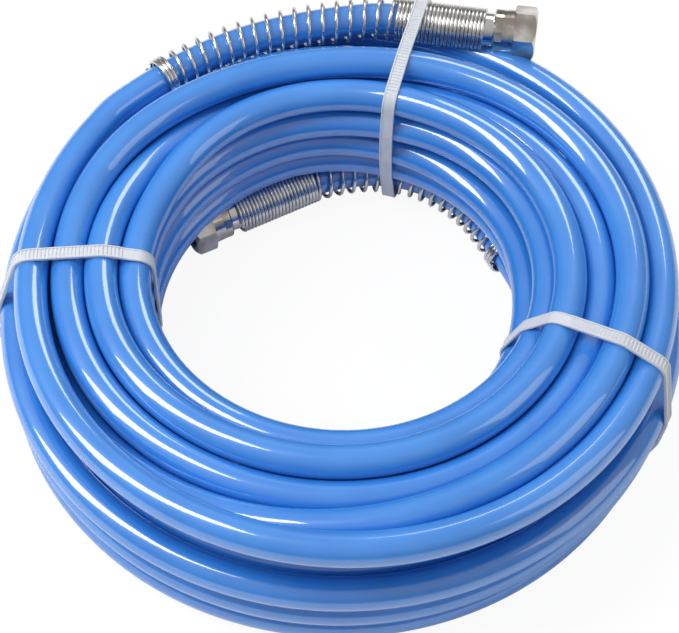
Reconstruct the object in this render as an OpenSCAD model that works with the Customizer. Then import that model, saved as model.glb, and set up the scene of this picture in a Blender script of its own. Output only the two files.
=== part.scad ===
// Airless spray hose, 1/4 in bore: a tied coil with a spring-guarded swivel nut on each end.
// The hose winds clockwise, seen from above, from the nut inside the coil to the one on top.

/* [Hose] */
// Outside diameter of the hose
hose_d = 11; // [10.6:0.1:11.1]
// Bore of the core tube
bore_d = 6.35; // [6:0.05:6.6]
// Outside diameter of the core tube
core_d = 8; // [7.6:0.1:8.4]
// Outside diameter of the braid over the core tube
braid_d = 9.6; // [9.2:0.1:10]

/* [Coil] */
// Radius of the innermost loops, at the middle of the hose
inner_r = 67.7; // [67.5:0.1:69]
// Step from one column of loops to the next, where they nest
side_step = 10.15; // [10.1:0.05:10.4]
// Step from one loop to the next one above it in a column
stack_step = 11.8; // [11.75:0.05:12]
// Clearance between loops of neighbouring columns that pass each other
pass_gap = 0.86; // [0.84:0.02:1]
// Rise of the coil where it lies over the inner spring guard
guard_lift = 4.6; // [4.5:0.1:6]
// Rise of the coil where it lies over the inner nut
nut_lift = 7.6; // [7.6:0.1:9]
// Angle of the first wound point, where the inner end runs into the coil
coil_start = 20; // [18:1:22]

/* [Spring guards] */
// Outside diameter of the spring
guard_d = 15.6; // [15.4:0.1:15.8]
// Diameter of the spring wire
wire_d = 1.35; // [1.2:0.05:1.4]
// Close turns over the ferrule
close_turns = 17; // [16:1:18]
// Open turns over the hose
open_turns = 17; // [15:1:17]
// Turns closed up at the free end
end_turns = 2; // [2:1:3]
// Pitch of the close turns
close_pitch = 1.8; // [1.8:0.02:1.86]
// Pitch of the open turns
open_pitch = 4.6; // [4.2:0.1:4.6]
// Pitch of the turns at the free end
end_pitch = 2.3; // [2.2:0.1:2.8]

/* [Ferrules and stems] */
// Length of the ferrule
ferrule_l = 23.5; // [22:0.5:24]
// Outside diameter of the ferrule
ferrule_d = 12.2; // [11.8:0.1:12.3]
// Diameter of the stem's collar behind the nut
collar_d = 12; // [11.6:0.1:12.4]
// Length of the stem's collar
collar_l = 2.2; // [1.8:0.1:2.6]
// Bore of the stem
stem_bore = 4; // [3.6:0.1:4.4]
// Diameter of the stem's neck that the nut turns on
neck_d = 9.4; // [9:0.1:9.8]
// Length of the stem's barbed tail inside the hose
tail_l = 21; // [18:0.5:22]

/* [Swivel nuts] */
// Hexagon across flats
nut_af = 17; // [16.8:0.1:17]
// Length of the hexagon
hex_l = 8; // [7:0.5:9]
// Length of the nut
nut_l = 15; // [14:0.5:15.5]
// Outside diameter of the skirt at the hexagon
skirt_d = 15.8; // [15.4:0.1:16]
// Outside diameter of the skirt at its crimped end
skirt_end_d = 15.2; // [14.8:0.1:15.4]
// Minor diameter of the 1/4 in straight pipe thread
thread_d = 12.2; // [12:0.1:12.6]
// Depth of the thread
thread_l = 8; // [7:0.5:8.5]
// Clearance all round between nut and stem
swivel_gap = 0.08; // [0.05:0.01:0.12]
// Crimped flats round the end of the skirt
crimp_flats = 9; // [8:1:10]
// Depth of a crimped flat
crimp_depth = 0.35; // [0.2:0.05:0.45]

/* [Cable ties] */
// Width of the strap
tie_w = 4.6; // [3.6:0.1:4.8]
// Thickness of the strap
tie_t = 1.2; // [1:0.05:1.3]
// Clearance between strap and hose
tie_gap = 0.35; // [0.3:0.05:0.5]
// Angle of the tie at the back
back_tie_angle = 74; // [73:0.5:75]
// Angle of the tie on the left
left_tie_angle = 182; // [181:0.5:183]
// Angle of the tie on the right
right_tie_angle = -23.5; // [-25:0.5:-22]
// Size of a tie's head across the strap
head_w = 7.2; // [6.8:0.1:7.6]
// Size of a tie's head along the strap
head_l = 7; // [6:0.1:8]
// Height of a tie's head from the hose
head_h = 5; // [4.6:0.1:5.4]

/* [Hidden] */

hose_blue = [0.28, 0.55, 0.9];
plated = [0.8, 0.79, 0.77];
nylon = [0.93, 0.93, 0.94];

// Heights: the straps lie on the floor, and the hose and the inner spring guard on the straps
strap_top = tie_t + tie_gap;
hose_z = strap_top + hose_d / 2;
guard_z = strap_top + guard_d / 2;
hex_corner_d = nut_af / cos(30);
nut_z = hex_corner_d / 2 + 0.4;

// ---- Winding ----
// Loops lie in five columns, listed from the inside out. Loops of the even columns climb one
// level in each turn and those of the odd columns fall one, each column in its own sector.
// A slot is [column, level], a level one loop.
column_loops = [5, 4, 5, 4];
column_base = [1, 2.5, 1, 1.5, 1];
column_count = len(column_loops);
slots = concat([for (c = [0 : column_count - 1]) for (k = [0 : column_loops[c] - 1])
                [c, column_base[c] + (c % 2 == 0 ? k : column_loops[c] - 1 - k)]],
               [[column_count, 1]]);
// Azimuth where the loops of each column begin to change level, and the arc they take
shift_from = [-31, -31, 48, -98, -31];
shift_arc = [140, 140, 62, 62, 67];
// When a loop moves to the next column: the part of that arc it takes, how far it bows over or
// under its neighbours, in levels, and 1 if it first goes along with its own column
leave_window = [[0.5, 1], [0.6, 1], [0.05, 0.5], [0, 0.7]];
leave_bow = [0.25, -0.33, 0.45, -0.2];
leave_along = [1, 1, 0, 0];

// The loops run straight for this many degrees to each side of a tie's middle
tie_piece = 7;
lift_start = right_tie_angle + tie_piece;
loop_from = right_tie_angle - tie_piece;

// Angles along the winding are counted from its first point
function turned(from_az, to_az) = (from_az - to_az + 720) % 360;
function turned_on(from_az, to_az) = let (t = turned(from_az, to_az)) t == 0 ? 360 : t;
leave_at = [for (k = 0, t = turned(coil_start, shift_from[0]); k < len(slots);
                 t = t + turned_on(shift_from[slots[k][0]], shift_from[slots[min(k + 1, len(slots) - 1)][0]]),
                 k = k + 1) t];
outer_climbs = 2;
first_outer_climb = leave_at[len(slots) - 1];
// The last loop rides up from the outer column, over the top, to the place of a loop that dived.
// Its columns and levels, each with the travelled angle from the azimuth where it leaves
ride_az = 60;
ride_from = first_outer_climb + 360 * (outer_climbs - 1) + turned(shift_from[column_count], ride_az);
ride_columns = [[0, column_count], [25, 4.17], [70, 4.17], [160, 3.72], [225, 3.3], [275, 3.45]];
ride_levels = [[0, outer_climbs + 1], [85, 5.38], [160, 5.38], [225, 4.8], [275, 4.6]];
ride_travel = 275;
coil_travel = ride_from + ride_travel;
coil_sides = 6;
// Height of the first loop's start over the hose that lies on the straps
guard_drop = 2;

function ramp(x, from, to) =
    let (u = min(1, max(0, (x - from) / (to - from)))) u * u * (3 - 2 * u);
function lerp(a, b, u) = a + (b - a) * u;

// Azimuth between -160 and 200 degrees at a travelled angle
function azimuth(travel) = let (az = coil_start - travel) az - 360 * ceil((az - 200) / 360);

// The coil rises over the inner end of the hose
function lift(az) =
    (guard_lift * ramp(az, lift_start, 30) + (nut_lift - guard_lift) * ramp(az, 80, 122))
    * (1 - ramp(az, 140, left_tie_angle - tie_piece));

// The level of a column's loops at an azimuth, less whole levels, and the step to the next
// column: loops that pass each other there stand further apart than nested ones
function column_level(c, az) =
    column_base[c] + (c % 2 == 0 ? 1 : -1) * ramp(turned(shift_from[c], az), 0, shift_arc[c]);
function column_step(c, az) =
    let (off = column_level(c, az) - column_level(c + 1, az),
         rise = stack_step * abs(off - round(off)), apart = hose_d + pass_gap)
    max(side_step, sqrt(max(0, apart * apart - rise * rise)));
function column_r(c, az) =
    let (whole = min(floor(c), column_count - 1))
    inner_r + sum_of([for (k = [0 : 1 : whole - 1]) column_step(k, az)])
    + (c - whole) * column_step(whole, az);

function slot_move(k, w) =
    let (from = slots[k], to = slots[k + 1], c = from[0], leaves = to[0] > c,
         window = leaves ? leave_window[c] : [0, 1],
         side = leaves ? ramp(w, window[0], window[1]) : 0,
         along = (c % 2 == 0 ? 1 : -1) * (leaves ? leave_along[c] : 1),
         bow = leaves ? leave_bow[c] * sin(180 * min(1, max(0, (w - window[0]) / (window[1] - window[0])))) : 0)
    [c + side, from[1] + along * ramp(w, 0, 1) + (leaves ? to[1] - from[1] - along : 0) * side + bow];

function outer_level(travel) =
    1 + sum_of([for (k = [0 : outer_climbs - 1])
        ramp(travel, first_outer_climb + 360 * k, first_outer_climb + 360 * k + shift_arc[column_count])]);

function staged(stages, s, i = 0) =
    s > stages[i + 1][0] && i < len(stages) - 2 ? staged(stages, s, i + 1) :
    lerp(stages[i][1], stages[i + 1][1], ramp(s, stages[i][0], stages[i + 1][0]));

function slot_at(travel) =
    travel < leave_at[0] ? slots[0] :
    travel > ride_from ? [staged(ride_columns, travel - ride_from), staged(ride_levels, travel - ride_from)] :
    travel > first_outer_climb ? [column_count, outer_level(travel)] :
    let (k = max([for (i = [0 : len(slots) - 2]) if (leave_at[i] <= travel) i]))
    slot_move(k, (travel - leave_at[k]) / shift_arc[slots[k][0]]);

// The first part of the first loop comes down from the spring guard, under the rest
function own_lift(travel) =
    travel < leave_at[0] ? guard_drop * ramp(azimuth(travel), lift_start, 30) : lift(azimuth(travel));

function coil_point(travel) =
    let (az = azimuth(travel), s = slot_at(travel), r = column_r(s[0], az))
    [r * cos(az), r * sin(az), hose_z + (s[1] - 1) * stack_step + own_lift(travel)];

// Both ends of the coil run straight for one hose diameter
function coil_heading(travel) = unit(coil_point(travel + 0.1) - coil_point(travel - 0.1));
start_dir = coil_heading(0);
finish_dir = coil_heading(coil_travel);
end_clear = 18;

// Rings of a loop, in stretches of [azimuth where it ends, rings], with one straight piece under
// each tie
stretches = [[left_tie_angle + tie_piece, 9], [left_tie_angle - tie_piece, 1],
             [back_tie_angle + tie_piece, 5], [back_tie_angle - tie_piece, 1],
             [right_tie_angle + tie_piece, 6], [loop_from, 1]];
stretch_ends = [0, each [for (t = stretches) turned_on(loop_from, t[0])]];
loop_travels = [for (k = [0 : len(stretches) - 1]) for (j = [0 : stretches[k][1] - 1])
                lerp(stretch_ends[k], stretch_ends[k + 1], j / stretches[k][1])];

coil_points = concat(
    [coil_point(0), coil_point(0) + start_dir * hose_d],
    [for (k = [-1 : ceil(coil_travel / 360)]) for (t = loop_travels)
        let (travel = turned(coil_start, loop_from) + 360 * k + t)
        if (travel > end_clear && travel < coil_travel - end_clear) coil_point(travel)],
    [coil_point(coil_travel) - finish_dir * hose_d, coil_point(coil_travel)]);
coil_end = len(coil_points) - 1;

// ---- Sweeps ----
function sum_of(v, i = 0) = i < len(v) ? v[i] + sum_of(v, i + 1) : 0;
function unit(v) = v / norm(v);
function heading(pts, i) = unit(pts[min(i + 1, len(pts) - 1)] - pts[max(i - 1, 0)]);

// Triangles of a closed tube from its rings, the same number of points in each
function tube_faces(rings, sides) = concat(
    [for (i = [0 : rings - 2]) for (j = [0 : sides - 1]) each
        let (a = i * sides + j, b = i * sides + (j + 1) % sides)
        [[a, b, b + sides], [a, b + sides, a + sides]]],
    [for (j = [1 : sides - 2]) [0, j + 1, j]],
    [for (j = [1 : sides - 2]) let (e = (rings - 1) * sides) [e, e + j, e + j + 1]]);

// One tube along points, with a reference direction at each ring
module swept_tube(pts, refs, d, sides) {
    verts = [for (i = [0 : len(pts) - 1])
             let (t = heading(pts, i), n = unit(refs[i] - t * (refs[i] * t)), m = cross(t, n))
             for (j = [0 : sides - 1]) let (q = 360 * j / sides)
             pts[i] + (n * cos(q) + m * sin(q)) * d / 2];
    polyhedron(verts, tube_faces(len(pts), sides));
}

// A hose lies level, so its rings start from the level direction across it
module swept_hose(pts, sides) {
    refs = [for (i = [0 : len(pts) - 1]) cross(heading(pts, i), [0, 0, 1])];
    swept_tube(pts, refs, hose_d, sides);
}

// ---- Hose ends ----
// Each end is listed from the back of its ferrule to the coil. The first two points give the
// straight line that the fitting lies on.
end_run = hose_d + 1;
function route_point(out, az, z) = [(inner_r + out) * cos(az), (inner_r + out) * sin(az), z];
inner_route = [route_point(-3.1, 106.2, nut_z), route_point(-0.2, 96.8, nut_z),
               route_point(2.9, 87.2, guard_z + 0.3), route_point(5.5, 77.8, guard_z),
               route_point(6.6, 68.3, guard_z), route_point(6, 58, guard_z),
               route_point(4.9, 48.1, guard_z - 0.1), route_point(2.8, 38.1, guard_z - 0.2)];
// The outer guard lies against the third column's top loop, over the fourth column's
guard_rest = (guard_d + hose_d) / 2;
outer_out = 2 * side_step + guard_rest + 1.1;
outer_z = coil_points[coil_end][2] + 3.4;
outer_route = [route_point(outer_out + 1.1, 73.6, outer_z), route_point(outer_out, 81.5, outer_z),
               route_point(outer_out - 0.2, 88.3, outer_z - 0.3), route_point(outer_out, 95.6, outer_z - 0.9),
               route_point(outer_out + 0.2, 105.1, outer_z - 1.7), route_point(outer_out + 0.4, 115.1, outer_z - 2.6),
               route_point(outer_out + 0.5, 125.7, outer_z - 3.3)];

function joined(route, end, run_dir) = concat(route, [end - run_dir * end_run, end]);
inner_line = joined(inner_route, coil_points[0], start_dir);
outer_line = joined(outer_route, coil_points[coil_end], -finish_dir);

// Lengths along a fitting, from the mouth of its nut
collar_at = nut_l + 0.3;
ferrule_at = collar_at + collar_l;
ferrule_end = ferrule_at + ferrule_l;
guard_at = ferrule_at + 0.3 + wire_d / 2;

function fitting_dir(line) = unit(line[1] - line[0]);
function mouth(line) = line[0] - fitting_dir(line) * ferrule_end;

// Puts children on a fitting: their Z axis runs from the mouth towards the hose
module on_fitting(line) {
    dir = fitting_dir(line);
    translate(mouth(line)) rotate([0, 90, atan2(dir[1], dir[0])]) children();
}

// ---- Spring guards ----
guard_turns = close_turns + open_turns + end_turns;
wire_rings = 8;
wire_sides = 3;
curl_r = (guard_d - wire_d) / 2;

// Distance from the first curl after a number of turns
function guard_s(turns) =
    close_pitch * min(turns, close_turns)
    + open_pitch * max(0, min(turns - close_turns, open_turns))
    + end_pitch * max(0, turns - close_turns - open_turns);

// Smooth point on a line at a distance from its first point
function on_line(pts, s, i = 0) =
    let (l = norm(pts[i + 1] - pts[i]))
    s > l && i < len(pts) - 2 ? on_line(pts, s - l, i + 1) :
    let (u = s / l, p0 = pts[max(0, i - 1)], p1 = pts[i], p2 = pts[i + 1],
         p3 = pts[min(len(pts) - 1, i + 2)],
         smooth = 0.5 * (2 * p1 + (p2 - p0) * u + (2 * p0 - 5 * p1 + 4 * p2 - p3) * u * u
                         + (3 * p1 - p0 - 3 * p2 + p3) * u * u * u))
    s < 0 || i == 0 ? lerp(p1, p2, u) : smooth;

// Points of the spring wire along a line, as [point, outward direction] pairs
function guard_wire(line) =
    [for (k = [0 : guard_turns * wire_rings])
        let (turns = k / wire_rings, s = guard_at + guard_s(turns) - ferrule_end,
             c = on_line(line, s), t = unit(on_line(line, s + 1) - on_line(line, s - 1)),
             side = unit(cross(t, [0, 0, 1])), up = cross(side, t),
             out = side * cos(360 * turns) + up * sin(360 * turns))
        [c + out * curl_r, out]];

// ---- Least gaps of the wound forms to themselves, on their points ----
function to_segment(p, a, b) =
    let (u = min(1, max(0, ((p - a) * (b - a)) / ((b - a) * (b - a))))) norm(p - a - (b - a) * u);
function least_gap(pts, d, skip, reach) =
    min([for (i = [0 : len(pts) - 1]) for (j = [i + skip : min(len(pts) - 2, i + reach)])
         to_segment(pts[i], pts[j], pts[j + 1])]) - d;

wire_points = [for (w = guard_wire(inner_line)) w[0]];
wire_points_outer = [for (w = guard_wire(outer_line)) w[0]];
union() {
    echo(loops = coil_travel / 360, curls = guard_turns,
         coil_gap = least_gap(coil_points, hose_d, 12, coil_end),
         inner_guard_gap = least_gap(wire_points, wire_d, wire_rings - 2, 2 * wire_rings),
         outer_guard_gap = least_gap(wire_points_outer, wire_d, wire_rings - 2, 2 * wire_rings));
}

// ---- Hose ----
module hose_coil() {
    color(hose_blue) swept_hose(coil_points, coil_sides);
}

module hose_end(line) {
    color(hose_blue) swept_hose(line, 12);
}

module inner_hose_end() { hose_end(inner_line); }
module outer_hose_end() { hose_end(outer_line); }

// Inside the ferrule the cover is cut back, so the ferrule grips the braid
module layer(line, outside, inside) {
    on_fitting(line) translate([0, 0, ferrule_at]) difference() {
        cylinder(d = outside, h = ferrule_l, $fn = 48);
        translate([0, 0, -1]) cylinder(d = inside, h = ferrule_l + 2, $fn = 48);
    }
}

module core_tube(line) { color("ivory") layer(line, core_d, bore_d); }
module braid(line) { color("dimgray") layer(line, braid_d, core_d); }

module inner_core_tube() { core_tube(inner_line); }
module outer_core_tube() { core_tube(outer_line); }
module inner_braid() { braid(inner_line); }
module outer_braid() { braid(outer_line); }

// ---- Fittings ----
lip_l = 2.4;
flange_d = thread_d - 0.6;
flange_l = 1.6;
flange_at = nut_l - lip_l - swivel_gap - flange_l;
nose_l = 2.4;
nose_d = 7;
barbs = 5;

module stem_profile() {
    barb_l = (tail_l - 3) / barbs;
    tail_r = bore_d / 2;
    bore_r = stem_bore / 2;
    polygon(concat(
        [[bore_r, flange_at - nose_l], [nose_d / 2, flange_at - nose_l],
         [flange_d / 2 - 0.8, flange_at], [flange_d / 2, flange_at],
         [flange_d / 2, flange_at + flange_l], [neck_d / 2, flange_at + flange_l],
         [neck_d / 2, collar_at], [collar_d / 2, collar_at], [collar_d / 2, ferrule_at]],
        [for (k = [0 : barbs - 1]) each
            [[tail_r, ferrule_at + k * barb_l], [tail_r - 0.4, ferrule_at + k * barb_l + 0.6]]],
        [[tail_r, ferrule_at + barbs * barb_l], [bore_r + 0.5, ferrule_at + tail_l],
         [bore_r, ferrule_at + tail_l]]));
}

module stem(line) {
    color(plated) on_fitting(line) rotate_extrude($fn = 48) stem_profile();
}

module ferrule(line) {
    color(plated) on_fitting(line) translate([0, 0, ferrule_at + 0.01]) difference() {
        cylinder(d = ferrule_d, h = ferrule_l - 0.01, $fn = 64);
        translate([0, 0, -1]) cylinder(d = braid_d, h = ferrule_l + 2, $fn = 64);
    }
}

module nut_outside() {
    intersection() {
        cylinder(d = hex_corner_d, h = hex_l, $fn = 6);
        rotate_extrude($fn = 64)
            polygon([[0, 0], [nut_af / 2 - 0.3, 0], [hex_corner_d / 2, 1.1],
                     [hex_corner_d / 2, hex_l - 0.4], [nut_af / 2, hex_l], [0, hex_l]]);
    }
    rotate_extrude($fn = 64)
        polygon([[0, hex_l - 0.5], [skirt_d / 2, hex_l - 0.5], [skirt_end_d / 2, nut_l - 3.2],
                 [skirt_end_d / 2, nut_l - 0.4], [skirt_end_d / 2 - 0.4, nut_l], [0, nut_l]]);
}

module nut_inside() {
    chamfer = 0.6;
    translate([0, 0, -1]) cylinder(d = thread_d, h = thread_l + 1, $fn = 64);
    rotate_extrude($fn = 64)
        polygon([[0, -0.01], [thread_d / 2 + chamfer, -0.01], [thread_d / 2, chamfer],
                 [0, chamfer]]);
    cylinder(d = flange_d + 2 * swivel_gap, h = nut_l - lip_l, $fn = 64);
    cylinder(d = neck_d + 2 * swivel_gap, h = nut_l + 1, $fn = 64);
}

module crimps() {
    flat_w = 3.4;
    flat_l = 2.6;
    for (k = [0 : crimp_flats - 1])
        rotate(360 * k / crimp_flats)
            translate([skirt_end_d / 2 - crimp_depth, -flat_w / 2, nut_l - 0.5 - flat_l])
                cube([2, flat_w, flat_l]);
}

module swivel_nut(line) {
    color(plated) on_fitting(line) difference() {
        nut_outside();
        nut_inside();
        crimps();
    }
}

module inner_stem() { stem(inner_line); }
module outer_stem() { stem(outer_line); }
module inner_ferrule() { ferrule(inner_line); }
module outer_ferrule() { ferrule(outer_line); }
module inner_swivel_nut() { swivel_nut(inner_line); }
module outer_swivel_nut() { swivel_nut(outer_line); }

module spring_guard(line) {
    wire = guard_wire(line);
    color(plated) swept_tube([for (w = wire) w[0]], [for (w = wire) w[1]], wire_d, wire_sides);
}

module inner_spring_guard() { spring_guard(inner_line); }
module outer_spring_guard() { spring_guard(outer_line); }

// ---- Cable ties ----
// Where a line crosses the half plane at an azimuth, as [radius, height]
function crossings(pts, az) =
    let (across = [-sin(az), cos(az), 0], along = [cos(az), sin(az), 0])
    [for (i = [0 : len(pts) - 2])
        let (a = pts[i] * across, b = pts[i + 1] * across)
        if (a * b <= 0 && a != b && pts[i] * along > 0)
            let (p = lerp(pts[i], pts[i + 1], a / (a - b))) [p * along, p[2]]];

module strand_outline(az, grow) {
    hull() {
        for (c = crossings(coil_points, az)) translate(c) circle(d = hose_d + grow, $fn = 32);
        for (line = [inner_line, outer_line]) for (c = crossings(concat([mouth(line)], line), az))
            translate(c) circle(d = guard_d + grow, $fn = 32);
    }
}

// A tie's head stands on the outer wall of the coil, or in the ring on the inner wall
function head_outside(az) = column_r(column_count, az) + hose_d / 2 - 1;
function head_inside(az) = inner_r - hose_d / 2 - head_h + 1;

module cable_tie(az, head) {
    color(nylon) rotate([90, 0, az]) {
        linear_extrude(tie_w, center = true) difference() {
            strand_outline(az, 2 * (tie_gap + tie_t));
            strand_outline(az, 2 * tie_gap);
        }
        linear_extrude(head_w, center = true) difference() {
            translate(head) square([head_h, head_l]);
            strand_outline(az, 2 * tie_gap);
        }
    }
}

module back_tie() { cable_tie(back_tie_angle, [head_outside(back_tie_angle), hose_z + stack_step]); }
module left_tie() { cable_tie(left_tie_angle, [head_outside(left_tie_angle), hose_z + stack_step]); }
module right_tie() { cable_tie(right_tie_angle, [head_inside(right_tie_angle), hose_z]); }

hose_coil();
inner_hose_end();
outer_hose_end();
inner_core_tube();
outer_core_tube();
inner_braid();
outer_braid();
inner_stem();
outer_stem();
inner_ferrule();
outer_ferrule();
inner_swivel_nut();
outer_swivel_nut();
inner_spring_guard();
outer_spring_guard();
back_tie();
left_tie();
right_tie();
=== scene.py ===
import math

import bmesh
import bpy
import numpy as np
from mathutils import Matrix, Vector


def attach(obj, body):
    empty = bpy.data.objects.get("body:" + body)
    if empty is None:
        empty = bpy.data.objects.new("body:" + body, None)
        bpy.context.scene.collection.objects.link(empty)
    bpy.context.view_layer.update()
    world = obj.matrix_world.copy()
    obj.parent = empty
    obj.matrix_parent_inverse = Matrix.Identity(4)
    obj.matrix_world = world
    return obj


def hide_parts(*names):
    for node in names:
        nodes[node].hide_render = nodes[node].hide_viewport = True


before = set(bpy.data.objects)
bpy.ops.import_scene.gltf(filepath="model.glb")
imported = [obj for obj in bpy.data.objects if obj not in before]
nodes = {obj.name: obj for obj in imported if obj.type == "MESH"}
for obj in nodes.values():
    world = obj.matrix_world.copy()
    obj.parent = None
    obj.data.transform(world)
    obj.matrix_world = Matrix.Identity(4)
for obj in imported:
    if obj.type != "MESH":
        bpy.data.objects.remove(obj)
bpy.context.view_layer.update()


# ---- Camera ----
# Stands in front of the coil and looks down on it from well above the table,
# close enough that the near loops look wider than the far ones.
camera_rise = math.radians(57.0)
camera_reach = 0.650
camera_target = Vector((0.0001, 0.0031, 0.0157))
camera_data = bpy.data.cameras.new("camera")
camera_data.sensor_width = 36.0
camera_data.lens = 36.0 * 1865.3 / 679
camera_data.clip_start = 0.01
camera_data.clip_end = 20.0
camera = bpy.data.objects.new("camera", camera_data)
bpy.context.scene.collection.objects.link(camera)
camera.location = camera_target + camera_reach * Vector((0, -math.cos(camera_rise), math.sin(camera_rise)))
camera.rotation_euler = (math.pi / 2 - camera_rise, 0, 0)
bpy.context.scene.camera = camera


# ---- Hose ----
# A 1/4 in bore airless hose, 11 mm outside, with a glossy blue cover. It comes from the ferrule
# inside the ring, is wound clockwise outwards in about twenty loops, and ends at the ferrule on
# top. The loops are laid first, and then settle against each other.
hose_d = 11.0
strap_thick = 1.2
strap_slack = 0.35
guard_d = 15.6
guard_floor = strap_thick + strap_slack + guard_d / 2
nut_flats = 17
nut_floor = nut_flats / math.cos(math.radians(30)) / 2 + 0.4

# The hose at each fitting, from the back of the ferrule, as azimuth, radius and height
inner_lay = [(106.2, 64.6, nut_floor), (96.8, 67.5, nut_floor), (87.2, 70.6, guard_floor + 0.3),
             (77.8, 73.2, guard_floor), (68.3, 74.3, guard_floor), (58, 73.7, guard_floor),
             (48.1, 72.6, guard_floor - 0.1), (38.1, 70.5, guard_floor - 0.2)]
outer_lay = [(73.6, 103.5, 60.11), (81.5, 102.4, 60.11), (88.3, 100.4, 59.8), (95.6, 98.9, 59.3),
             (105.1, 98.2, 58.4), (115.1, 98.1, 57.4), (127, 98.3, 56.2)]

# Radius and height of each loop where it passes the left tie, at azimuth 180
at_left_tie = [(67.9, 16.6), (67.9, 27.8), (67.9, 39.2), (67.9, 54), (78.3, 58.3), (88.7, 54.3), (98.6, 40.5),
               (98.6, 28.5), (88.3, 30.6), (88.3, 42.4), (78, 47), (78, 35.4), (78, 24), (88.3, 18.8), (88.3, 7.1),
               (98.6, 13), (108.9, 7.1), (108.9, 18.8), (108.9, 30.6), (99.8, 55)]

# The loops that show on top, from the left tie clockwise: azimuth, radius and height
top_lay = {
    2: [(140, 67.9, 46.5), (74, 67.9, 48.3), (50, 67.8, 50), (20, 67.8, 51.5), (0, 69.2, 51.5), (-20, 71.3, 51.5),
        (-60, 70.4, 52.5), (-90, 69.6, 53), (-160, 69.2, 54)],
    3: [(140, 68.2, 57.5), (120, 67.5, 58.2), (90, 67.0, 57.8), (74, 67.2, 58.6), (50, 68.4, 60), (20, 73, 60),
        (0, 76, 60), (-20, 78.2, 60), (-60, 78.8, 59.5), (-90, 79.2, 59), (-160, 80, 58.5)],
    4: [(160, 77.6, 56.5), (140, 76.2, 53.5), (110, 73.2, 48.8), (80, 73.2, 48.8), (60, 76.5, 54), (40, 80.5, 56),
        (20, 83.2, 55.5), (0, 85.6, 54.6), (-20, 87.3, 54), (-60, 89, 55), (-90, 89.7, 56), (-160, 91.3, 55.5)],
    5: [(160, 85.5, 57), (140, 81.5, 60), (120, 78, 61.5), (90, 76.8, 61.8), (74, 77.8, 61.8), (60, 82, 61.3),
        (40, 89.5, 60.5), (20, 93.3, 60.3), (0, 95.3, 60.2), (-20, 96.5, 60), (-60, 98, 60), (-90, 98.8, 59.5),
        (-120, 98.5, 54.5), (-160, 97.5, 43.5)],
    18: [(140, 108.5, 38), (110, 107.5, 43), (74, 105, 50), (50, 103.5, 55), (20, 104.6, 57), (0, 105.5, 55.5),
         (-20, 106, 54.5), (-60, 107.8, 60), (-90, 108.5, 63.5), (-120, 106.4, 62), (-160, 102.3, 57)]}

# Every other loop rises over the inner spring guard at the back and then moves to its next place
# at the left tie. Those at the foot of the coil draw in a little at the front.
front_lay = {15: (105, 7.1), 16: (107.8, 19), 17: (108.5, 33)}
first_angle = 20
turn_start = 200
last_turn = len(at_left_tie) - 1


def loop_lay(turn):
    """Azimuth, radius and height along a loop, from one pass of the left tie to the next."""
    (radius, height), following = at_left_tie[turn], at_left_tie[turn + 1]
    return top_lay.get(turn) or [
        (140, radius, height + 3), (110, radius, height + 5.5), (74, radius, height + 5),
        (-20, *following), (-90, *front_lay.get(turn, following)), (-160, *following)]


# The whole hose as travel, radius and height: travel counts the degrees from azimuth 20, clockwise
first_lay = [(20, 67.9, 8.6), (-16, 67.9, 7.1), (-60, 67.9, 7.3), (-120, 67.9, 10.5), (-160, 67.9, 15)]
last_lay = [(160, 98.6, 56), (142, 98.2, 56)]
lay = [(first_angle - a, r, z) for a, r, z in inner_lay + first_lay]
for turn, place in enumerate(at_left_tie):
    lay.append((turn_start + 360 * turn, *place))
    if turn < last_turn:
        lay += [(turn_start + 360 * turn + 180 - a, r, z) for a, r, z in loop_lay(turn)]
last_start = turn_start + 360 * last_turn + 180
lay += [(last_start - a, r, z) for a, r, z in last_lay + outer_lay[::-1]]
lay = np.array(lay)

station = 6
travel = np.arange(-84, lay[-1, 0], station)
laid = np.stack([np.interp(travel, lay[:, 0], lay[:, k]) for k in (1, 2)], axis=1)


def settle(laid):
    """Moves the loops apart where they press into each other, and lets each spring back a little."""
    in_inner_guard = travel <= first_angle - inner_lay[-1][0] + 0.1
    fitted = in_inner_guard | (travel >= last_start - 100)
    girth = np.where(in_inner_guard | (travel > last_start - outer_lay[-1][0]), guard_d, hose_d)
    shows = np.zeros(len(travel), bool)
    for turn in [*top_lay, last_turn]:
        shows |= abs(travel - turn_start - 360 * turn - 170) <= 180
    hold = np.where(fitted, 0, np.where(shows, 0.06, 0.01))[:, None]
    give = np.where(fitted, 0.001, np.where(shows, 0.35, 1.0))
    bend = np.where(fitted, 0, 0.25)[:, None]

    # The hose passes each of the sixty stations round the ring once in every loop
    stations = 360 // station
    passing = np.full((stations, len(travel) // stations + 1), -1)
    for k in range(len(travel)):
        passing[k % stations, k // stations] = k
    real = passing >= 0
    pairs = real[:, :, None] & real[:, None, :] & ~np.eye(passing.shape[1], dtype=bool)
    apart = (girth[passing][:, :, None] + girth[passing][:, None, :]) / 2 + 0.15
    share = give[passing][:, :, None] / (give[passing][:, :, None] + give[passing][:, None, :])

    settled = laid.copy()
    rounds, held_rounds = 240, 200
    for count in range(rounds):
        held = count < held_rounds
        for _ in range(2 if held else 1):
            settled[1:-1] += bend[1:-1] * ((settled[2:] + settled[:-2]) / 2 - settled[1:-1])
        if held:
            settled += hold * (laid - settled)
        for _ in range(4):
            across = settled[passing][:, :, None] - settled[passing][:, None, :]
            distance = np.linalg.norm(across, axis=3) + 1e-9
            push = np.where(pairs, np.maximum(0, apart - distance), 0) * share / distance
            settled[passing[real]] += 0.6 * (push[..., None] * across).sum(axis=2)[real]
            settled[:, 1] = np.maximum(settled[:, 1], strap_thick + strap_slack + girth / 2)
    return settled


def about(azimuth, radius, height):
    """The point at an azimuth, a radius and a height round the ring."""
    a = math.radians(azimuth)
    return Vector((radius * math.cos(a), radius * math.sin(a), height))


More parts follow.
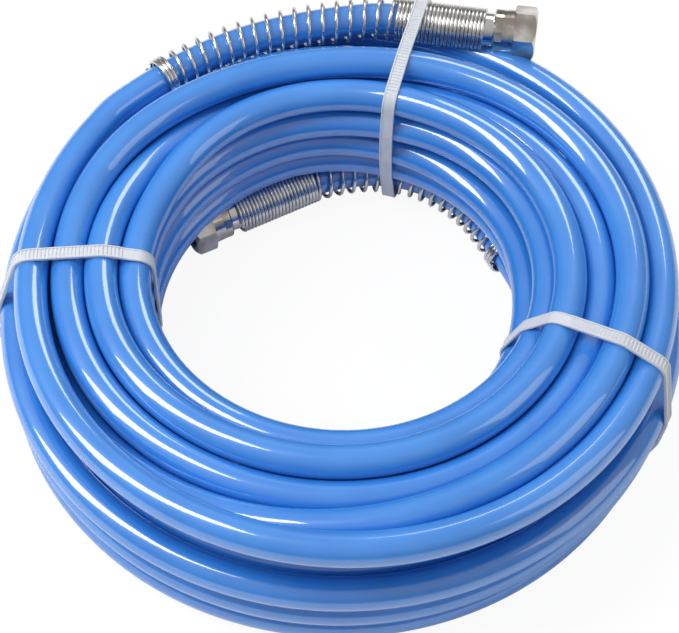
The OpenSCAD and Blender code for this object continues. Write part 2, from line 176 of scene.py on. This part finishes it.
def through(points, spacing):
    """Evenly spaced points of a smooth curve through the points."""
    points = [Vector(p) for p in points]
    ends = [2 * points[0] - points[1]] + points + [2 * points[-1] - points[-2]]
    fine = []
    for p0, p1, p2, p3 in zip(ends, ends[1:], ends[2:], ends[3:]):
        for step in range(12):
            u = step / 12
            fine.append(0.5 * (2 * p1 + (p2 - p0) * u + (2 * p0 - 5 * p1 + 4 * p2 - p3) * u * u
                               + (3 * p1 - p0 - 3 * p2 + p3) * u * u * u))
    fine = np.array(fine + [points[-1]])
    run = np.concatenate([[0], np.cumsum(np.linalg.norm(np.diff(fine, axis=0), axis=1))])
    at = np.linspace(0, run[-1], max(2, round(run[-1] / spacing) + 1))
    return [Vector(p) for p in np.stack([np.interp(at, run, fine[:, k]) for k in range(3)], axis=1)]


loops = settle(laid)
wound = [about(first_angle - t, r, z) for t, (r, z) in zip(travel, loops)]
inner_points = [about(*p) for p in inner_lay]
outer_points = [about(*p) for p in outer_lay]
inner_end = int(np.argmax(travel >= 0))
outer_end = int(np.argmax(travel > last_start - 136))
hose_points = inner_points + wound[inner_end:outer_end] + outer_points[::-1]
hose_line = through(hose_points, 3.0)
inner_lead = through(inner_points + wound[inner_end:inner_end + 2], 3.0)
outer_lead = through(outer_points + wound[outer_end - 2:outer_end][::-1], 3.0)


def laid_tube(name, points, diameter, sides):
    """A round tube along points in millimetres, as a mesh in metres with capped ends."""
    curve = bpy.data.curves.new(name, "CURVE")
    curve.dimensions = "3D"
    curve.bevel_depth = diameter / 2000
    curve.bevel_resolution = sides // 2 - 2
    curve.resolution_u = 1
    curve.use_fill_caps = True
    spline = curve.splines.new("POLY")
    spline.points.add(len(points) - 1)
    for place, point in zip(spline.points, points):
        place.co = (*(point / 1000), 1)
    spline.use_smooth = True
    tube = bpy.data.objects.new(name, curve)
    bpy.context.scene.collection.objects.link(tube)
    bpy.ops.object.select_all(action="DESELECT")
    tube.select_set(True)
    bpy.context.view_layer.objects.active = tube
    bpy.ops.object.convert(target="MESH")
    return bpy.context.view_layer.objects.active


hose = laid_tube("hose", hose_line, hose_d, 24)


class Tone:
    """One socket of a material's nodes, which adds Math nodes when it is used in arithmetic."""

    def __init__(self, paint, socket):
        self.paint, self.socket = paint, socket

    def maths(self, operation, *values):
        return self.paint.node("ShaderNodeMath", {"operation": operation}, dict(enumerate(values)))

    def __add__(self, other): return self.maths("ADD", self, other)
    def __radd__(self, other): return self.maths("ADD", other, self)
    def __mul__(self, other): return self.maths("MULTIPLY", self, other)
    def __rmul__(self, other): return self.maths("MULTIPLY", other, self)

    def clear(self, low, high):
        """This value spread smoothly from 0 at low to 1 at high."""
        return self.paint.node("ShaderNodeMapRange", {"interpolation_type": "SMOOTHSTEP"},
                               {"Value": self, "From Min": low, "From Max": high})


class Paint:
    """A material on the principled shader, and the one method that adds nodes to it."""

    def __init__(self, name, **settings):
        self.material = bpy.data.materials.new(name)
        self.material.use_nodes = True
        self.tree = self.material.node_tree
        self.shader = self.tree.nodes["Principled BSDF"]
        self.output = self.tree.nodes["Material Output"]
        for socket, value in settings.items():
            self.set(socket.replace("_", " "), value)

    def set(self, socket, value):
        if isinstance(value, Tone):
            self.tree.links.new(value.socket, self.shader.inputs[socket])
        else:
            self.shader.inputs[socket].default_value = value

    def node(self, kind, settings=None, inputs=None, output=0):
        node = self.tree.nodes.new(kind)
        for name, value in (settings or {}).items():
            setattr(node, name, value)
        for name, value in (inputs or {}).items():
            if isinstance(value, Tone):
                self.tree.links.new(value.socket, node.inputs[name])
            else:
                node.inputs[name].default_value = value
        return Tone(self, node.outputs[output])

    def noise(self, scale, detail):
        spot = self.node("ShaderNodeTexCoord", output="Object")
        return self.node("ShaderNodeTexNoise", inputs={"Vector": spot, "Scale": scale, "Detail": detail})

    def mix(self, share, low, high):
        return self.node("ShaderNodeMix", {"data_type": "RGBA"}, {0: share, 6: low, 7: high}, output=2)

    def bump(self, height, strength, distance):
        self.set("Normal", self.node("ShaderNodeBump", inputs={
            "Height": height, "Strength": strength, "Distance": distance}))

    def coat(self, *pieces):
        for piece in pieces:
            piece.data.materials.clear()
            piece.data.materials.append(self.material)


cover = Paint("blue_cover", Coat_Weight=1.0, Coat_Roughness=0.045, Coat_IOR=1.8, IOR=1.5)
waviness = cover.noise(45, 2)
grain = cover.noise(700, 2)
cover.set("Base Color", cover.mix(waviness.clear(0.3, 0.7), (0.028, 0.220, 0.69, 1), (0.037, 0.248, 0.74, 1)))
cover.set("Roughness", 0.3 + 0.08 * waviness)
cover.bump(waviness + grain * 0.02, 0.12, 0.0005)
cover.coat(hose)

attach(hose, "hose")
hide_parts("hose_coil", "inner_hose_end", "outer_hose_end")


# ---- Spring guards ----
# A bright plated spring slips over each ferrule and the first stretch of hose. Its turns touch
# over the ferrule, open out over the hose so that it can bend, and close up again at the end.
spring_d = 15.6
spring_wire = 1.35
nut_long = 15.0
collar_from = nut_long + 0.3
ferrule_from = collar_from + 2.2
ferrule_to = ferrule_from + 23.5
spring_from = ferrule_from + 0.3 + spring_wire / 2
tight_turns, open_turns, last_turns = 23, 17, 3
tight_pitch, open_pitch, last_pitch = 1.37, 5.0, 1.45


def spring_curl(lead):
    """The wire's line round a lead, whose first point is the back of the ferrule."""
    run = [0.0]
    for a, b in zip(lead, lead[1:]):
        run.append(run[-1] + (b - a).length)
    run, line = np.array(run), np.array(lead)
    straight = (lead[1] - lead[0]).normalized()
    turns = tight_turns + open_turns + last_turns
    points = []
    for k in range(turns * 20 + 1):
        turn = k / 20
        along = spring_from - ferrule_to
        along += tight_pitch * min(turn, tight_turns)
        along += open_pitch * min(max(0, turn - tight_turns), open_turns)
        along += last_pitch * max(0, turn - tight_turns - open_turns)

        def on_lead(s):
            if s < 0:
                return lead[0] + straight * s
            return Vector([np.interp(s, run, line[:, axis]) for axis in range(3)])

        centre = on_lead(along)
        heading = (on_lead(along + 1.5) - on_lead(along - 1.5)).normalized()
        side = heading.cross(Vector((0, 0, 1))).normalized()
        up = side.cross(heading)
        around = 2 * math.pi * turn
        points.append(centre + (side * math.cos(around) + up * math.sin(around)) * (spring_d - spring_wire) / 2)
    return points


spring_steel = Paint("plated_spring_wire", Metallic=1.0, IOR=1.5)
speckle = spring_steel.noise(2600, 2)
drawn = spring_steel.noise(240, 2)
spring_steel.set("Base Color", spring_steel.mix(drawn.clear(0.3, 0.7), (0.62, 0.61, 0.60, 1), (0.74, 0.73, 0.71, 1)))
spring_steel.set("Roughness", 0.17 + 0.1 * drawn)
spring_steel.bump(speckle, 0.15, 0.0001)

inner_spring = laid_tube("inner_spring", spring_curl(inner_lead), spring_wire, 10)
outer_spring = laid_tube("outer_spring", spring_curl(outer_lead), spring_wire, 10)
spring_steel.coat(inner_spring, outer_spring)
for spring, node in ((inner_spring, "inner_spring_guard"), (outer_spring, "outer_spring_guard")):
    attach(spring, "hose")
    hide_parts(node)


# ---- Swivel nuts, stems and ferrules ----
# Turned steel, nickel plated. The ferrule is pressed over the braid and the stem's barbed tail,
# and the nut turns on the stem, held by its crimped skirt.
nickel = Paint("nickel_plate", Metallic=1.0, IOR=1.5)
cloudy = nickel.noise(140, 3)
turned = nickel.noise(1800, 2)
nickel.set("Base Color", nickel.mix(cloudy.clear(0.3, 0.7), (0.74, 0.715, 0.68, 1), (0.86, 0.84, 0.80, 1)))
nickel.set("Roughness", 0.06 + 0.14 * cloudy)
nickel.bump(turned * 0.5 + cloudy * 0.5, 0.1, 0.0002)
nickel.coat(*(nodes[side + part] for side in ("inner_", "outer_") for part in ("stem", "ferrule")))

nut_plate = Paint("nut_nickel_plate", Metallic=1.0, IOR=1.5)
tarnish = nut_plate.noise(90, 3)
pitting = nut_plate.noise(1100, 3)
nut_plate.set("Base Color", nut_plate.mix(tarnish.clear(0.35, 0.65), (0.44, 0.385, 0.34, 1), (0.78, 0.755, 0.72, 1)))
nut_plate.set("Roughness", 0.08 + 0.2 * tarnish)
nut_plate.bump(pitting * 0.5 + tarnish * 0.5, 0.25, 0.0003)
nut_plate.coat(nodes["inner_swivel_nut"], nodes["outer_swivel_nut"])

core = Paint("core_tube_nylon", Roughness=0.4)
core.set("Base Color", core.mix(core.noise(400, 2), (0.75, 0.73, 0.66, 1), (0.82, 0.8, 0.74, 1)))
core.coat(nodes["inner_core_tube"], nodes["outer_core_tube"])
braid = Paint("braid_yarn", Roughness=0.7)
braid.set("Base Color", braid.mix(braid.noise(1500, 2), (0.03, 0.03, 0.035, 1), (0.09, 0.09, 0.1, 1)))
braid.coat(nodes["inner_braid"], nodes["outer_braid"])


# ---- Cable ties ----
# Natural nylon straps, 4.6 mm wide, pulled tight round the loops in three places. A ladder of
# small teeth runs between two rails, and the head's pawl locks into it.
nylon = Paint("natural_nylon", Roughness=0.32, IOR=1.5, Transmission_Weight=0.25)
milky = nylon.noise(300, 2)
nylon.set("Base Color", nylon.mix(milky, (0.74, 0.78, 0.84, 1), (0.84, 0.87, 0.91, 1)))

strap_wide = 4.6
rail_wide = 0.65
web_thick = 0.7
tooth_high = 0.4
tooth_pitch = 1.25


def strap_path(azimuth):
    """The tight line round the loops at an azimuth, as radius and height, evenly spaced."""
    a = math.radians(azimuth)
    across, along = Vector((-math.sin(a), math.cos(a), 0)), Vector((math.cos(a), math.sin(a), 0))
    rim = []
    for line, girth in ((hose_line, hose_d), (inner_lead, guard_d), (outer_lead, guard_d)):
        for p, q in zip(line, line[1:]):
            if (p @ across) * (q @ across) <= 0 and p @ along > 0:
                share = (p @ across) / ((p @ across) - (q @ across))
                middle = p.lerp(q, share)
                for k in range(72):
                    turn = math.radians(5 * k)
                    rim.append((middle @ along + (girth / 2 + 0.1) * math.cos(turn),
                                max(strap_thick, middle.z + (girth / 2 + 0.1) * math.sin(turn))))
    rim = sorted(set(rim))
    halves = []
    for side in (rim, rim[::-1]):
        hull = []
        for point in side:
            while len(hull) > 1 and ((hull[-1][0] - hull[-2][0]) * (point[1] - hull[-2][1])
                                     - (hull[-1][1] - hull[-2][1]) * (point[0] - hull[-2][0])) <= 0:
                hull.pop()
            hull.append(point)
        halves += hull[:-1]
    loop = np.array(halves + halves[:1])
    run = np.concatenate([[0], np.cumsum(np.linalg.norm(np.diff(loop, axis=0), axis=1))])
    at = np.linspace(0, run[-1], round(run[-1] / (tooth_pitch / 5)) + 1)[:-1]
    even = np.stack([np.interp(at, run, loop[:, k]) for k in (0, 1)], axis=1)
    for _ in range(3):
        even = (np.roll(even, 1, axis=0) + even + np.roll(even, -1, axis=0)) / 3
    return even, at


def strap(name, azimuth, path, run, toothed_from):
    """A strap as a closed band: two rails, and between them teeth as far in as a radius."""
    a = math.radians(azimuth)
    across, along = np.array((-math.sin(a), math.cos(a), 0)), np.array((math.cos(a), math.sin(a), 0))
    ahead = np.roll(path, -1, axis=0) - np.roll(path, 1, axis=0)
    outward = np.stack([ahead[:, 1], -ahead[:, 0]], axis=1) / np.linalg.norm(ahead, axis=1)[:, None]
    toothed = np.clip((path[:, 0] - toothed_from) / 2 + 0.5, 0, 1)
    tooth = toothed * tooth_high * (run / tooth_pitch % 1)
    rail = web_thick + (strap_thick - web_thick) * (0.35 + 0.65 * toothed)
    half, inner = strap_wide / 2, strap_wide / 2 - rail_wide
    profile = [(-half + 0.15, 0 * rail), (-half, 0.25 + 0 * rail), (-half, rail - 0.2), (-half + 0.2, rail),
               (-inner - 0.1, rail), (-inner, web_thick + tooth), (inner, web_thick + tooth), (inner + 0.1, rail),
               (half - 0.2, rail), (half, rail - 0.2), (half, 0.25 + 0 * rail), (half - 0.15, 0 * rail)]
    rings = []
    for wide, high in profile:
        place = path + outward * high[:, None]
        rings.append(place[:, :1] * along + place[:, 1:] * np.array((0, 0, 1)) + wide * across)
    vertices = np.stack(rings, axis=1).reshape(-1, 3) / 1000
    count, sides = len(path), len(profile)
    faces = [(i * sides + j, i * sides + (j + 1) % sides, (i + 1) % count * sides + (j + 1) % sides,
              (i + 1) % count * sides + j) for i in range(count) for j in range(sides)]
    mesh = bpy.data.meshes.new(name)
    mesh.from_pydata(vertices.tolist(), [], faces)
    band = bpy.data.objects.new(name, mesh)
    bpy.context.scene.collection.objects.link(band)
    return band


def block(middle, size, azimuth):
    """A rounded box with hollowed ends, in the upright plane at an azimuth."""
    bpy.ops.object.select_all(action="DESELECT")
    bpy.ops.mesh.primitive_cube_add(size=1)
    box = bpy.context.object
    box.data.transform(Matrix.Diagonal((size[0] / 1000, size[1] / 1000, size[2] / 1000, 1)))
    bpy.ops.object.mode_set(mode="EDIT")
    for way in (1, -1):
        mesh = bmesh.from_edit_mesh(box.data)
        for face in mesh.faces:
            face.select_set(face.normal.z * way > 0.9)
        bmesh.update_edit_mesh(box.data)
        bpy.ops.mesh.inset(thickness=0.0003 * min(size))
        bpy.ops.transform.translate(value=(0, 0, -0.0003 * way))
    bpy.ops.object.mode_set(mode="OBJECT")
    bevel = box.modifiers.new("bevel", "BEVEL")
    bevel.width, bevel.segments, bevel.limit_method = 0.0003, 2, "ANGLE"
    bpy.ops.object.modifier_apply(modifier="bevel")
    box.data.transform(Matrix.Rotation(math.radians(azimuth), 4, "Z")
                       @ Matrix.Translation((middle[0] / 1000, 0, middle[1] / 1000)))
    return box


# Each tie's azimuth, the radius from which its teeth show, and the height of its head. The right
# one has its head in the ring, on the inner wall.
head_size, tail_size = (5, 7.2, 7), (1.2, 4.4, 3.5)
head_off = 2.3
tail_rise = 4
for side, azimuth, toothed_from, height in (("back", 74, 65, 22.3), ("left", 182, 71, 22.3),
                                            ("right", -23.5, 79, 14)):
    path, run = strap_path(azimuth)
    band = strap(side + "_cable_tie", azimuth, path, run, toothed_from)
    level_with = path[abs(path[:, 1] - height) < 1.5, 0]
    out = level_with.min() - head_off if side == "right" else level_with.max() + head_off
    parts = [block((out, height), head_size, azimuth),
             block((out, height + tail_rise), tail_size, azimuth)]
    bpy.ops.object.select_all(action="DESELECT")
    for piece in parts + [band]:
        piece.select_set(True)
    bpy.context.view_layer.objects.active = band
    bpy.ops.object.join()
    nylon.coat(band)
    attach(band, "hose")
    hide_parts(side + "_tie")


# ---- Floor and light ----
# A plain floor under soft lamps and a sky that is brighter overhead. The camera alone sees the
# floor and the sky as white, and the floor keeps a light shadow.
bpy.ops.object.select_all(action="DESELECT")
bpy.ops.mesh.primitive_plane_add(size=6)
floor = bpy.context.object
floor.name = "floor"
paper = Paint("white_paper", Roughness=0.9)
paper.set("Base Color", (0.9, 0.9, 0.9, 1))
glow = paper.node("ShaderNodeEmission", inputs={"Color": (1, 1, 1, 1), "Strength": 1.02})
seen = paper.node("ShaderNodeLightPath", output="Is Camera Ray")
lit = Tone(paper, paper.shader.outputs[0])
blend = paper.node("ShaderNodeMixShader", inputs={0: 0.9 * seen, 1: lit, 2: glow})
paper.tree.links.new(blend.socket, paper.output.inputs["Surface"])
paper.coat(floor)

world = bpy.data.worlds.new("studio")
bpy.context.scene.world = world
world.use_nodes = True
tree = world.node_tree
sky = tree.nodes["Background"]
direction = tree.nodes.new("ShaderNodeTexCoord")
rays = tree.nodes.new("ShaderNodeLightPath")
split = tree.nodes.new("ShaderNodeSeparateXYZ")
tree.links.new(direction.outputs["Generated"], split.inputs["Vector"])
rise = tree.nodes.new("ShaderNodeMapRange")
rise.interpolation_type = "SMOOTHSTEP"
for socket, number in (("From Min", 0.1), ("From Max", 0.85), ("To Min", 0.24), ("To Max", 0.52)):
    rise.inputs[socket].default_value = number
tree.links.new(split.outputs["Z"], rise.inputs["Value"])
level = tree.nodes.new("ShaderNodeMapRange")
tree.links.new(rays.outputs["Is Camera Ray"], level.inputs["Value"])
tree.links.new(rise.outputs["Result"], level.inputs["To Min"])
level.inputs["To Max"].default_value = 1.0
tree.links.new(level.outputs["Result"], sky.inputs["Strength"])
sky.inputs["Color"].default_value = (1, 1, 1, 1)


def lamp(name, place, size, power):
    """A rectangular lamp that faces the coil."""
    data = bpy.data.lights.new(name, "AREA")
    data.shape = "RECTANGLE"
    data.size, data.size_y = size
    data.energy = power
    light = bpy.data.objects.new(name, data)
    bpy.context.scene.collection.objects.link(light)
    light.location = place
    light.rotation_euler = (-Vector(place)).to_track_quat("-Z", "Y").to_euler()


lamp("left_window", (-0.74, -0.06, 1.0), (0.38, 1.1), 12)
lamp("back_fill", (0.35, 0.9, 0.9), (0.5, 0.4), 3)
lamp("right_fill", (0.9, -0.3, 0.6), (0.5, 0.8), 1.5)

bpy.context.scene.view_settings.view_transform = "Standard"
